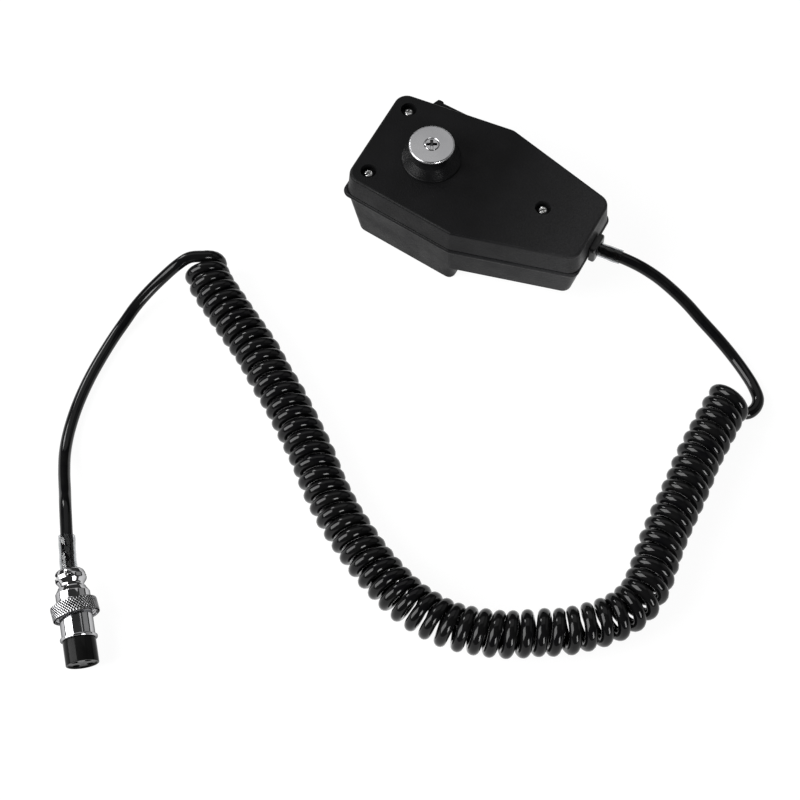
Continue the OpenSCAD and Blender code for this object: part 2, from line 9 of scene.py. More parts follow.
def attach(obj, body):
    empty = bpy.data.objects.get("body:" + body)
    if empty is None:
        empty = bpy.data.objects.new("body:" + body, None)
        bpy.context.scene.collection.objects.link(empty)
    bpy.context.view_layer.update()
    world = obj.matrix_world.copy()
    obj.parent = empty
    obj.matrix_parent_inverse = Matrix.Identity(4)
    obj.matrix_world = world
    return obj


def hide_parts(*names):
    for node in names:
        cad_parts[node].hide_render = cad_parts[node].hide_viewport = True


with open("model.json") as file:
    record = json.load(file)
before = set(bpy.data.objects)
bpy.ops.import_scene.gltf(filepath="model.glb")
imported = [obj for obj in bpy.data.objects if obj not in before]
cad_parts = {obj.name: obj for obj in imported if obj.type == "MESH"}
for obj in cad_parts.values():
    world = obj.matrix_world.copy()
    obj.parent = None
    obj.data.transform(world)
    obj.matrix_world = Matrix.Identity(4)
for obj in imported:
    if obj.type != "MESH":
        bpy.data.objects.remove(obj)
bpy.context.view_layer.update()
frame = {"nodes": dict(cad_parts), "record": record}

CAD = frame["nodes"]
MM = 0.001

# Sizes in millimetres, in the frame's own axes:
# +X towards the cord end, +Y towards the talk lever, +Z towards the back cover
BODY_L = 96.6
TAIL_W = 31
MAX_W = 56.4
WIDE_W = 46.8
BODY_H = 34.5
SEAM_Z = 23.5
STEP_Z = 9
WALL = 2
CORNER_R = 3.6
TOP_CORNER_R = 5
HALF_L = BODY_L / 2
EDGE_R = 1.1
SEAM_GAP = 0.35
TOP_INSET = 0.9
RIM_H = 2.2
RIM_STEP = 0.85
RIM_WIDE_REACH = 1
RIM_ROUND = 0.75
FACE_EDGE_R = 1.2
BOTTOM_DRAFT = (2.2, 5.2, 4.4)
STEP_X = 1
STEP_RUN = 5.5
BAY_CORNER_R = 4
SHELL_BOSSES = ((-40.6, 16.4), (-40.6, -16.4), (26, 0))
RECESS_D = 6.2
RECESS_FLOOR_Z = 31.5
BUTTON_X = -22
DISC_D = 17.6
DISC_Z = 44
DISC_T = 1.6
BASE_D = 23
NECK_D = 9.6
LEVER_Y = 28.2
LEVER_Z = (17, 30.5)
PIVOT = (-7, 20.8)
PIN_D = 2.5
GRILLE_R = 14
SLOT_W = 1.8
SLOT_PITCH = 3.6

# Cord and plug
CORD_D = 4.6
CORD_R = CORD_D / 2
COIL_D = 17.4
EXIT_Z = 23.5
FLOOR_Z = CORD_R + 0.05
HELIX_R = (COIL_D - CORD_D) / 2
HELIX_TURNS = 63.5
POINTS_PER_TURN = 24
PLUG_NOSE = (-38.5, -232, 6.7)
PLUG_HEADING = -51
PLUG_DIP = 8
PLUG_L = 35.5
RING_D = 17
BARREL_D = 12
INSERT_D = 11.9
LIP_S = (8.9, 10.2)
RING_S = (17.4, 22.6)
SHOULDER_S = (23.2, 26.7)
NECK_S = 28.3
BULB_S = (29.1, 35)
LIP_R = 6.7
THREAD_R = 7.5
SHOULDER_R = 6.2
NECK_R = 4.4
BULB_R = 5.75
PLUG_BORE_R = CORD_R + 0.95
CLAMP_ROLL = 40
CLAMP_SCREW_Y = 3.85
RING_TILT = 7
KNURL_DEPTH = 0.28
KNURL_TEETH = 48
KNURL_LEAD = 0.8
CONTACT_RING_R = 3.5
CONTACT_R = 1.3

# Places of the cord's centre: from inside the housing to the coil, along the coil,
# and from the coil to the plug
MIC_ROUTE = [
    (36, 0, EXIT_Z), (44, 0, EXIT_Z), (52, 0, EXIT_Z), (61, 0.5, EXIT_Z), (68, 1, 22.2),
    (75, 1.3, 19.5), (82, 1, 16), (89, 0, 12.5), (96, -2, 9.5), (103, -4, 6.8),
    (109, -6, 4.6), (115, -8.7, 3), (120.5, -12, FLOOR_Z), (125, -15.5, FLOOR_Z),
    (128.5, -19.5, FLOOR_Z), (129, -24, FLOOR_Z), (126.5, -27.5, FLOOR_Z),
]
COIL_ROUTE = [
    (120, -27), (119.5, -36), (119.5, -46), (119.5, -57), (120.5, -68), (121, -78),
    (121.5, -88), (122.5, -98), (124, -108), (124, -118), (119, -129), (107.5, -140.5),
    (98.5, -146), (89, -152), (79, -156), (69, -158.5), (59, -158.5), (50, -157),
    (40, -153.5), (31, -149.5), (22, -144.5), (13, -139), (3, -131.5), (-6, -123.5),
    (-15, -116.5), (-27, -107.5), (-37, -101), (-47, -94), (-58.5, -87.5), (-68, -82),
    (-78, -76), (-84.5, -70),
]
PLUG_ROUTE = [
    (-89, -73, 15), (-92, -77.5, 13.5), (-95, -83, 10.5),
    (-97.8, -89.6, 7.5), (-99.8, -96.8, 5), (-100.6, -104, 3.3), (-101, -112, FLOOR_Z),
    (-100.5, -122, FLOOR_Z), (-99.5, -132, FLOOR_Z), (-97.5, -143, FLOOR_Z),
    (-94.5, -153.5, FLOOR_Z), (-90.5, -162.5, 3.5), (-85, -171, 6.5), (-79, -179, 10),
    (-73.5, -186.5, 13),
]
# Distance between turns along the coil: (share of the coil's length from the microphone, millimetres)
COIL_PITCH = [
    (0, 5.5), (0.25, 5.45), (0.3, 5.7), (0.38, 5.6), (0.42, 5.4),
    (0.7, 5.45), (0.84, 5.5), (0.87, 5.05), (1, 5),
]


# ---------------------------------------------------------------- mesh helpers

def new_piece(name, points, faces, sharp=32):
    """Mesh object with its points given in millimetres."""
    mesh = bpy.data.meshes.new(name)
    mesh.from_pydata([Vector(p) * MM for p in points], [], faces)
    piece = bpy.data.objects.new(name, mesh)
    bpy.context.scene.collection.objects.link(piece)
    shade(piece, sharp)
    return piece


def shade(piece, sharp):
    """Faces outward, smooth shading, and sharp edges above the given angle."""
    mesh = piece.data
    work = bmesh.new()
    work.from_mesh(mesh)
    bmesh.ops.recalc_face_normals(work, faces=work.faces)
    work.to_mesh(mesh)
    work.free()
    mesh.polygons.foreach_set("use_smooth", [True] * len(mesh.polygons))
    mesh.set_sharp_from_angle(angle=math.radians(sharp))


def even_shading(piece):
    """Large flat faces keep flat normals beside rounded edges."""
    weighted = piece.modifiers.new("even_shading", "WEIGHTED_NORMAL")
    weighted.keep_sharp = True
    weighted.weight = 80


def bake(piece):
    """Writes the piece's modifiers into its mesh."""
    shown = piece.evaluated_get(bpy.context.evaluated_depsgraph_get())
    mesh = bpy.data.meshes.new_from_object(shown)
    old = piece.data
    piece.modifiers.clear()
    piece.data = mesh
    mesh.name = piece.name
    bpy.data.meshes.remove(old)


def combine(piece, others, operation="DIFFERENCE", sharp=32):
    """Cuts the other solids out of the piece, or joins or intersects them with it."""
    for other in others:
        step = piece.modifiers.new("combine", "BOOLEAN")
        step.operation = operation
        step.solver = "EXACT"
        step.object = other
    bake(piece)
    for other in others:
        bpy.data.objects.remove(other)
    shade(piece, sharp)
    return piece


def merge(name, pieces):
    """One object that holds separate solids."""
    work = bmesh.new()
    for piece in pieces:
        piece.data.transform(piece.matrix_world)
        work.from_mesh(piece.data)
        bpy.data.objects.remove(piece)
    mesh = bpy.data.meshes.new(name)
    work.to_mesh(mesh)
    work.free()
    merged = bpy.data.objects.new(name, mesh)
    bpy.context.scene.collection.objects.link(merged)
    return merged


def copies(name, piece, places):
    """The piece repeated at each place, as one object."""
    work = bmesh.new()
    for place in places:
        start = len(work.verts)
        work.from_mesh(piece.data)
        work.verts.ensure_lookup_table()
        scaled = place.copy()
        scaled.translation *= MM
        bmesh.ops.transform(work, matrix=scaled, verts=work.verts[start:])
    mesh = bpy.data.meshes.new(name)
    work.to_mesh(mesh)
    work.free()
    bpy.data.objects.remove(piece)
    repeated = bpy.data.objects.new(name, mesh)
    bpy.context.scene.collection.objects.link(repeated)
    shade(repeated, 32)
    return repeated


def placed(piece, place):
    """Moves the piece's mesh by a matrix whose translation is in millimetres."""
    scaled = place.copy()
    scaled.translation *= MM
    piece.data.transform(scaled)
    return piece


def block(low, high):
    points = [(x, y, z) for x in (low[0], high[0]) for y in (low[1], high[1]) for z in (low[2], high[2])]
    faces = [(0, 1, 3, 2), (4, 6, 7, 5), (0, 4, 5, 1), (2, 3, 7, 6), (0, 2, 6, 4), (1, 5, 7, 3)]
    return new_piece("block", points, faces)


def rod(radius, low, high, x=0, y=0, segments=48):
    """Upright cylinder between two heights."""
    return placed(revolve("rod", [(0, low), (radius, low), (radius, high), (0, high)], segments),
                  Matrix.Translation((x, y, 0)))


def soften(points, radius, steps=4, closed=False):
    """Flat outline with its corners rounded; a corner uses at most 0.45 of its shorter side."""
    soft = []
    for i, p in enumerate(points):
        if not closed and i in (0, len(points) - 1):
            soft.append(tuple(p))
            continue
        a, b, c = Vector(points[i - 1]), Vector(p), Vector(points[(i + 1) % len(points)])
        u, v = a - b, c - b
        reach = 0.45 * min(u.length, v.length)
        u.normalize()
        v.normalize()
        half = u.angle(v) / 2
        if half > math.radians(87):
            soft.append(tuple(p))
            continue
        r = min(radius, reach * math.tan(half))
        centre = b + (u + v).normalized() * (r / math.sin(half))
        spoke = b + u * (r / math.tan(half)) - centre
        turn = math.pi - 2 * half
        side = 1 if (b - a).cross(c - b) > 0 else -1
        for k in range(steps + 1):
            soft.append(tuple(centre + Matrix.Rotation(side * turn * k / steps, 2) @ spoke))
    return soft


def revolve(name, profile, segments=64, place=None, closed=False, ripple=None, sharp=32):
    """Turned solid from a profile of (radius, height); ripple(radius, height, angle) changes the radius."""
    points, rings = [], []
    for r, z in profile:
        if r < 1e-6:
            rings.append([len(points)])
            points.append((0, 0, z))
            continue
        ring = []
        for k in range(segments):
            a = 2 * math.pi * k / segments
            reach = ripple(r, z, a) if ripple else r
            ring.append(len(points))
            points.append((reach * math.cos(a), reach * math.sin(a), z))
        rings.append(ring)
    faces = []
    pairs = list(zip(rings, rings[1:]))
    if closed:
        pairs.append((rings[-1], rings[0]))
    for low, high in pairs:
        for k in range(segments):
            m = (k + 1) % segments
            if len(low) == 1 and len(high) > 1:
                faces.append((low[0], high[m], high[k]))
            elif len(high) == 1 and len(low) > 1:
                faces.append((low[k], low[m], high[0]))
            elif len(low) > 1:
                faces.append((low[k], low[m], high[m], high[k]))
    piece = new_piece(name, points, faces, sharp)
    return placed(piece, place) if place else piece


def loft(name, levels, sharp=32):
    """Closed solid through flat outlines with equal numbers of points, given as (height, outline)."""
    count = len(levels[0][1])
    points = [(x, y, z) for z, flat in levels for x, y in flat]
    last = (len(levels) - 1) * count
    faces = [tuple(reversed(range(count))), tuple(range(last, last + count))]
    for k in range(len(levels) - 1):
        for i in range(count):
            j = (i + 1) % count
            faces.append((k * count + i, k * count + j, (k + 1) * count + j, (k + 1) * count + i))
    return new_piece(name, points, faces, sharp)


def rounding(radius, steps=6):
    """A rounded edge as (inset, distance below the top), from the wall to the top."""
    turns = [math.radians(90 * k / steps) for k in range(steps + 1)]
    return [(radius * (1 - math.cos(a)), radius * (1 - math.sin(a))) for a in turns]


def spline(points, steps, before=None, after=None):
    """Smooth curve through points in space; before and after lead in and out of its ends."""
    knots = [Vector(p) for p in points]
    first = Vector(before) if before else knots[0] * 2 - knots[1]
    final = Vector(after) if after else knots[-1] * 2 - knots[-2]
    chain = [first] + knots + [final]
    curve = []
    for i in range(1, len(chain) - 2):
        p0, p1, p2, p3 = chain[i - 1:i + 3]
        for k in range(steps):
            t = k / steps
            curve.append(0.5 * (2 * p1 + (p2 - p0) * t + (2 * p0 - 5 * p1 + 4 * p2 - p3) * t * t
                                + (3 * p1 - p0 - 3 * p2 + p3) * t * t * t))
    curve.append(chain[-2])
    return curve


def sweep(name, path, radius, sides=32, wall=None, sharp=40):
    """Tube along a path; radius(i, angle) gives its surface, and wall makes it hollow."""
    side = None
    outer, inner = [], []
    for i, p in enumerate(path):
        ahead, behind = path[min(i + 1, len(path) - 1)], path[max(i - 1, 0)]
        t = (ahead - behind).normalized()
        if side is None:
            side = t.cross(Vector((0, 0, 1))).normalized()
        side = (side - t * side.dot(t)).normalized()
        up = side.cross(t)
        for k in range(sides):
            a = 2 * math.pi * k / sides
            spoke = side * math.cos(a) + up * math.sin(a)
            outer.append(p + spoke * radius(i, a))
            if wall:
                inner.append(p + spoke * (radius(i, a) - wall))
    points = outer + inner
    faces = []
    last = (len(path) - 1) * sides
    shift = len(outer)
    for k in range(sides):
        m = (k + 1) % sides
        for i in range(len(path) - 1):
            low, high = i * sides, (i + 1) * sides
            faces.append((low + k, low + m, high + m, high + k))
            if wall:
                faces.append((shift + low + m, shift + low + k, shift + high + k, shift + high + m))
        if wall:
            faces.append((k, shift + k, shift + m, m))
            faces.append((last + m, shift + last + m, shift + last + k, last + k))
    if not wall:
        faces.append(tuple(reversed(range(sides))))
        faces.append(tuple(range(last, last + sides)))
    return new_piece(name, points, faces, sharp)


def cross_cutter(size, arm, depth):
    """Cross recess that narrows downwards from z = 0."""
    def plus(reach, half):
        corner = [(reach, -half), (reach, half), (half, half)]
        quarters = [Matrix.Rotation(math.radians(90 * q), 2) for q in range(4)]
        return [tuple(quarter @ Vector(p)) for quarter in quarters for p in corner]
    return loft("cross", [
        (-depth, plus(size * 0.16, arm * 0.3)),
        (0, plus(size / 2, arm / 2)),
        (1, plus(size / 2, arm / 2)),
    ])


def cross_screw(name, head_r, head_h, shank_r, length, slot):
    """Pan-head screw with a cross recess; its head sits on z = 0."""
    foot_r = head_r * 0.97
    profile = [(0, -length), (shank_r * 0.5, -length), (shank_r, -length + 1), (shank_r, 0), (foot_r, 0)]
    dome = soften([(foot_r, 0), (head_r, head_h * 0.45), (head_r * 0.72, head_h), (0, head_h)], 0.8, 6)
    screw = revolve(name, profile + dome[1:], 48)
    recess = placed(cross_cutter(slot, slot * 0.26, head_h * 0.8), Matrix.Translation((0, 0, head_h)))
    return combine(screw, [recess])


# ---------------------------------------------------------------- materials

def nodes_of(name):
    material = bpy.data.materials.new(name)
    material.use_nodes = True
    return material, material.node_tree


def noise(tree, scale, detail=3.0, stretch=None, roughness=0.55):
    """Noise in object space; stretch makes streaks."""
    coords = tree.nodes.new("ShaderNodeTexCoord")
    mapping = tree.nodes.new("ShaderNodeMapping")
    mapping.inputs["Scale"].default_value = stretch or (1, 1, 1)
    texture = tree.nodes.new("ShaderNodeTexNoise")
    texture.inputs["Scale"].default_value = scale
    texture.inputs["Detail"].default_value = detail
    texture.inputs["Roughness"].default_value = roughness
    tree.links.new(coords.outputs["Object"], mapping.inputs["Vector"])
    tree.links.new(mapping.outputs["Vector"], texture.inputs["Vector"])
    return texture.outputs["Fac"]


def spread(tree, source, low, high, first=0.35, last=0.65):
    """The source's middle values spread between low and high."""
    span = tree.nodes.new("ShaderNodeMapRange")
    span.inputs["From Min"].default_value = first
    span.inputs["From Max"].default_value = last
    span.inputs["To Min"].default_value = low
    span.inputs["To Max"].default_value = high
    tree.links.new(source, span.inputs["Value"])
    return span.outputs["Result"]


def tint(tree, source, dark, light):
    """Colour between dark and light by the source."""
    mix = tree.nodes.new("ShaderNodeMix")
    mix.data_type = "RGBA"
    mix.inputs["A"].default_value = (*dark, 1)
    mix.inputs["B"].default_value = (*light, 1)
    tree.links.new(source, mix.inputs["Factor"])
    return mix.outputs["Result"]


def bump(tree, source, distance, strength=1.0, under=None):
    relief = tree.nodes.new("ShaderNodeBump")
    relief.inputs["Distance"].default_value = distance
    relief.inputs["Strength"].default_value = strength
    tree.links.new(source, relief.inputs["Height"])
    if under:
        tree.links.new(under, relief.inputs["Normal"])
    return relief.outputs["Normal"]


def surface(name, dark, light, rough, metallic=0.0, patch=90, grain=1500, relief=0.00002,
            streak=None, specular=0.5, edge=1.0):
    """A finish with mottled colour and roughness and a fine relief."""
    material, tree = nodes_of(name)
    shader = tree.nodes["Principled BSDF"]
    mottle = noise(tree, patch, 4, streak)
    fine = noise(tree, grain, 2, streak)
    tree.links.new(tint(tree, spread(tree, mottle, 0, 1), dark, light), shader.inputs["Base Color"])
    tree.links.new(spread(tree, noise(tree, patch * 2.3, 5, streak), *rough), shader.inputs["Roughness"])
    shader.inputs["Metallic"].default_value = metallic
    shader.inputs["Specular IOR Level"].default_value = specular
    # edge tints the metal's reflection at grazing angles; below 1 it darkens the rims as painted shade.
    shader.inputs["Specular Tint"].default_value = (edge, edge, edge, 1)
    tree.links.new(bump(tree, fine, relief), shader.inputs["Normal"])
    return material


def painted_end_sheen(tree):
    """Painted sheen: light specks of fine noise in the base colour, thicker towards the cord end, where
    light from beyond that end falls on the grain.
    """
    coords = tree.nodes.new("ShaderNodeTexCoord")
    split = tree.nodes.new("ShaderNodeSeparateXYZ")
    tree.links.new(coords.outputs["Object"], split.inputs["Vector"])
    amount = tree.nodes.new("ShaderNodeMath")
    amount.operation = "MULTIPLY"
    tree.links.new(spread(tree, split.outputs["X"], 0.05, 1, 0.005, 0.046), amount.inputs[0])
    tree.links.new(spread(tree, noise(tree, 3600, 2), 0.15, 0.85, 0.38, 0.62), amount.inputs[1])
    return amount.outputs["Value"]


def moulded(name, dark, light, rough, grain=1900, relief=0.00006):
    """Textured black moulding: a pebble grain, with painted sheen specks in the base colour towards the
    cord end.
    """
    material, tree = nodes_of(name)
    shader = tree.nodes["Principled BSDF"]
    pebble = tree.nodes.new("ShaderNodeTexVoronoi")
    pebble.feature = "SMOOTH_F1"
    pebble.inputs["Scale"].default_value = grain
    pebble.inputs["Smoothness"].default_value = 0.6
    coords = tree.nodes.new("ShaderNodeTexCoord")
    tree.links.new(coords.outputs["Object"], pebble.inputs["Vector"])
    shader.inputs["Specular IOR Level"].default_value = 0.1
    colour = tint(tree, spread(tree, noise(tree, 45, 5), 0, 1), dark, light)
    painted_sheen_mix = tree.nodes.new("ShaderNodeMix")
    painted_sheen_mix.data_type = "RGBA"
    # Colour of the painted sheen specks, lighter than the moulding's own black.
    painted_sheen_mix.inputs["B"].default_value = (0.028, 0.028, 0.029, 1)
    tree.links.new(painted_end_sheen(tree), painted_sheen_mix.inputs["Factor"])
    tree.links.new(colour, painted_sheen_mix.inputs["A"])
    tree.links.new(painted_sheen_mix.outputs["Result"], shader.inputs["Base Color"])
    tree.links.new(spread(tree, noise(tree, 130, 6), *rough), shader.inputs["Roughness"])
    coarse = bump(tree, noise(tree, grain * 0.35, 3), relief * 0.8)
    tree.links.new(bump(tree, pebble.outputs["Distance"], relief, under=coarse), shader.inputs["Normal"])
    return material


def clear_sleeve(name):
    """Clear shrink tube, slightly cloudy and wavy."""
    material, tree = nodes_of(name)
    shader = tree.nodes["Principled BSDF"]
    shader.inputs["Base Color"].default_value = (0.55, 0.56, 0.57, 1)
    shader.inputs["Transmission Weight"].default_value = 1
    shader.inputs["IOR"].default_value = 1.35
    tree.links.new(spread(tree, noise(tree, 300, 4), 0.03, 0.12), shader.inputs["Roughness"])
    tree.links.new(bump(tree, noise(tree, 350, 3), 0.00003), shader.inputs["Normal"])
    return material


def knurled(name):
    """Chromed knurl, lighter on its ridges, with painted shade darkening its grooves."""
    material, tree = nodes_of(name)
    shader = tree.nodes["Principled BSDF"]
    depth = tree.nodes.new("ShaderNodeAttribute")
    depth.attribute_name = "groove"
    painted_groove_shade = spread(tree, depth.outputs["Fac"], 0, 1, 0.1, 0.6)
    # Painted shade: the base colour falls to near black with the groove depth.
    tree.links.new(tint(tree, painted_groove_shade, (0.5, 0.5, 0.51), (0.012, 0.012, 0.012)), shader.inputs["Base Color"])
    tree.links.new(spread(tree, noise(tree, 370, 5), 0.14, 0.24), shader.inputs["Roughness"])
    shader.inputs["Metallic"].default_value = 1
    # Specular Tint below 1 darkens the chrome's reflection at its rims as painted shade.
    shader.inputs["Specular Tint"].default_value = (0.3, 0.3, 0.3, 1)
    return material


def laminate(name):
    """Brown board with a faint paper weave."""
    return surface(name, (0.2, 0.12, 0.045), (0.3, 0.19, 0.08), (0.35, 0.5), streak=(1, 6, 1), patch=120)


def make_materials():
    black = (0.003, 0.003, 0.0032)
    soft_black = (0.0055, 0.0055, 0.006)
    steel = ((0.5, 0.5, 0.5), (0.68, 0.68, 0.67))
    return {
        "shell_plastic": moulded("shell_plastic", black, soft_black, (0.36, 0.5)),
        "lever_plastic": moulded("lever_plastic", black, soft_black, (0.3, 0.45), relief=0.00002),
        "button_base": surface("button_base", black, soft_black, (0.25, 0.4),
                               relief=0.00001, specular=0.13),
        "disc_metal": surface("disc_metal", (0.44, 0.44, 0.45), (0.5, 0.5, 0.51), (0.24, 0.32), 1,
                              patch=70, grain=2500, relief=0.0000006),
        # Chrome's edge of 0.2 darkens its rims as painted shade.
        "chrome": surface("chrome", (0.46, 0.46, 0.47), (0.56, 0.56, 0.57), (0.05, 0.12), 1,
                          patch=110, grain=1800, relief=0.0000004, edge=0.2),
        "knurled_chrome": knurled("knurled_chrome"),
        "plated_screw": surface("plated_screw", *steel, (0.18, 0.35), 1, patch=400, relief=0.000006),
        "spring_steel": surface("spring_steel", (0.32, 0.32, 0.33), (0.5, 0.5, 0.5), (0.25, 0.4), 1,
                                patch=500),
        "switch_plastic": surface("switch_plastic", (0.01, 0.01, 0.011), (0.022, 0.022, 0.023),
                                  (0.4, 0.55)),
        "plunger_plastic": surface("plunger_plastic", (0.3, 0.02, 0.015), (0.42, 0.035, 0.02), (0.3, 0.45)),
        "tinned_brass": surface("tinned_brass", (0.5, 0.46, 0.33), (0.68, 0.65, 0.52), (0.25, 0.4), 1,
                                patch=700),
        "board": laminate("board"),
        "resistor": surface("resistor", (0.45, 0.3, 0.15), (0.6, 0.45, 0.27), (0.25, 0.4), patch=500),
        "capacitor": surface("capacitor", (0.38, 0.14, 0.03), (0.52, 0.22, 0.05), (0.2, 0.35), patch=500),
        "dust_cloth": surface("dust_cloth", (0.006, 0.006, 0.006), (0.02, 0.02, 0.02), (0.8, 0.95),
                              grain=2600, relief=0.00008),
        "soft_rubber": surface("soft_rubber", black, soft_black, (0.26, 0.42), grain=900, relief=0.00003),
        "capsule_metal": surface("capsule_metal", (0.42, 0.43, 0.44), (0.56, 0.57, 0.58), (0.3, 0.45), 1),
        "magnet": surface("magnet", (0.05, 0.05, 0.055), (0.1, 0.1, 0.11), (0.45, 0.6), 0.6),
        "pole_steel": surface("pole_steel", (0.3, 0.3, 0.31), (0.45, 0.45, 0.46), (0.3, 0.45), 1),
        "copper_wire": surface("copper_wire", (0.42, 0.17, 0.07), (0.6, 0.27, 0.12), (0.22, 0.35), 1,
                               streak=(1, 1, 14), patch=200),
        "film": surface("film", (0.55, 0.52, 0.4), (0.68, 0.66, 0.52), (0.2, 0.3)),
        "foam": surface("foam", (0.02, 0.02, 0.02), (0.05, 0.05, 0.05), (0.85, 0.95),
                        grain=1100, relief=0.0002),
        "lead_insulation": surface("lead_insulation", (0.32, 0.015, 0.015), (0.45, 0.03, 0.03),
                                   (0.25, 0.4)),
        "wire_insulation": surface("wire_insulation", (0.42, 0.3, 0.02), (0.56, 0.42, 0.04), (0.25, 0.4)),
        "sleeve": clear_sleeve("sleeve"),
        "cord_jacket": surface("cord_jacket", (0.0025, 0.0025, 0.003), (0.005, 0.005, 0.005), (0.06, 0.12),
                               patch=140, grain=420, relief=0.00001, specular=0.22),
        "insert_plastic": surface("insert_plastic", (0.003, 0.003, 0.003), (0.006, 0.006, 0.006),
                                  (0.1, 0.2), grain=700, relief=0.000004, specular=0.06),
        # Dark plating colour, darkened further to paint the shade deep in the socket holes.
        "contact_metal": surface("contact_metal", (0.2, 0.17, 0.1), (0.3, 0.26, 0.17), (0.25, 0.4), 1),
    }


MATERIALS = make_materials()


def finish_piece(piece, slot, body="microphone", nodes=(), look=None):
    """Gives a new piece its finish, its body and the CAD nodes that it stands for."""
    piece.data.materials.clear()
    piece.data.materials.append(MATERIALS[look or slot])
    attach(piece, body)
    if nodes:
        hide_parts(*nodes)
    return piece


# ---------------------------------------------------------------- housing

def half_width(x):
    """Half width of the parting-line outline at the place x."""
    end = WIDE_W if x < 0 else TAIL_W
    return (MAX_W - (MAX_W - end) * abs(x) / HALF_L) / 2


def outline(side, wide=None, tail=None, r=CORNER_R):
    """Plan outline drawn in by its own amount at the sides and at each end."""
    xw = -HALF_L + (side if wide is None else wide)
    xt = HALF_L - (side if tail is None else tail)
    yw, ym, yt = half_width(xw) - side, MAX_W / 2 - side, half_width(xt) - side
    corners = [(xw, -yw), (0, -ym), (xt, -yt), (xt, yt), (0, ym), (xw, yw)]
    return soften(corners, r, 8, closed=True)


def back_shell():
    low, high = SEAM_GAP, TOP_INSET
    groove = low + 0.6
    levels = [(SEAM_Z, outline(groove, r=TOP_CORNER_R)), (SEAM_Z + 0.5, outline(groove, r=TOP_CORNER_R)),
              (SEAM_Z + 0.8, outline(low, r=TOP_CORNER_R))]
    levels += [(BODY_H - drop, outline(high + inset, r=TOP_CORNER_R)) for inset, drop in rounding(EDGE_R)]
    shell = loft("back_cover", levels)
    hollow = loft("hollow", [
        (SEAM_Z - 1, outline(low + WALL, r=CORNER_R - WALL)),
        (BODY_H - WALL - 0.2, outline(high + WALL, r=CORNER_R - WALL)),
    ])
    combine(shell, [hollow])
    bosses = [rod(4.1, SEAM_Z + 0.02, BODY_H - 1, x, y) for x, y in SHELL_BOSSES]
    bosses.append(rod(3.2, LEVER_Z[1] + 0.4, BODY_H - 1, *PIVOT))
    bosses.append(block((-31.5, 11, 20.5), (-26.5, 12.6, BODY_H - 1)))
    combine(shell, [merge("bosses", bosses)], "UNION")
    r = RECESS_D / 2
    recess = soften([(r, RECESS_FLOOR_Z), (r, BODY_H), (r + 1.5, BODY_H + 1.5)], 0.35, 4)
    bore = [(0, SEAM_Z - 1), (1.5, SEAM_Z - 1), (1.5, RECESS_FLOOR_Z)] + recess + [(0, BODY_H + 1.5)]
    holes = [placed(revolve("hole", bore, 48), Matrix.Translation((x, y, 0))) for x, y in SHELL_BOSSES]
    holes.append(rod(PIN_D / 2 + 0.02, SEAM_Z, 32, *PIVOT))
    holes.append(rod(1.7, SEAM_Z, BODY_H + 1, BUTTON_X))
    combine(shell, [merge("holes", holes)])
    combine(shell, [lever_window(), cord_notch()])
    even_shading(shell)
    return finish_piece(shell, "shell_plastic", nodes=["back_shell"])


def lever_window():
    return block((-36.5, 21, LEVER_Z[0] - 0.3), (-9.9, 32, LEVER_Z[1] + 0.3))


def cord_notch():
    return block((HALF_L - 4, -3.8, EXIT_Z - 3.5), (HALF_L + 1, 3.8, EXIT_Z + 3.5))


def wall_outline(z, extra=0.0, r=CORNER_R):
    """The front shell's wall, which leans in from under the rim to the face."""
    share = z / (SEAM_Z - RIM_H)
    side, wide, tail = (draft + (RIM_STEP - draft) * share + extra for draft in BOTTOM_DRAFT)
    return outline(side, wide, tail, r)


def rim_outline(inset):
    """The bead round the front shell, which stands further out at the wide end."""
    return outline(inset, inset - RIM_WIDE_REACH * (1 - inset / 2), inset)


def step_cutter(shift_x, shift_z, steps=12):
    """Space under the slim cord end, with a hollow curve up from the resting face."""
    x0 = STEP_X + shift_x
    z1 = STEP_Z + shift_z
    turns = [math.radians(90 * k / steps) for k in range(steps + 1)]
    curve = [(x0 + STEP_RUN * (1 - math.cos(a)), shift_z + STEP_Z * math.sin(a)) for a in turns]
    side = [(x0, -5)] + curve + [(HALF_L + 5, z1), (HALF_L + 5, -5)]
    solid = loft("step", [(-40, side), (40, side)])
    return placed(solid, Matrix.Rotation(math.radians(90), 4, "X"))


def bay_corner(side, steps=8):
    """Space outside the rounded upright corner where the deep bay ends, on one side."""
    levels = []
    for k in range(-1, steps + 1):
        a = math.radians(90 * max(k, 0) / steps)
        x = STEP_X + STEP_RUN * (1 - math.cos(a))
        z = STEP_Z * math.sin(a) if k >= 0 else -1
        draft = BOTTOM_DRAFT[0] + (RIM_STEP - BOTTOM_DRAFT[0]) * z / (SEAM_Z - RIM_H)
        start, corner = (x - 7, half_width(x - 7) - draft), (x, half_width(x) - draft)
        edge = soften([start, corner, (x, corner[1] - 9)], BAY_CORNER_R, 8)
        outer = [(x + 1, edge[-1][1]), (x + 1, corner[1] + 6), (x - 7, corner[1] + 6)]
        levels.append((z, [(u, side * v) for u, v in edge + outer]))
    return loft("bay_corner", levels)


def grille_slots():
    slots = []
    for k in range(-3, 4):
        y = k * SLOT_PITCH
        reach = math.sqrt(GRILLE_R ** 2 - y ** 2)

        def stadium(half):
            arc = [math.radians(-90 + 180 * n / 10) for n in range(11)]
            ends = [(reach + half * math.cos(a), half * math.sin(a)) for a in arc]
            return [(BUTTON_X + u, y + v) for u, v in ends] + [(BUTTON_X - u, y - v) for u, v in ends]

        flare = [(-1, 0.65), (0, 0.35), (0.35, 0), (WALL + 1, 0)]
        slots.append(loft("slot", [(z, stadium(SLOT_W / 2 + extra)) for z, extra in flare]))
    return merge("slots", slots)


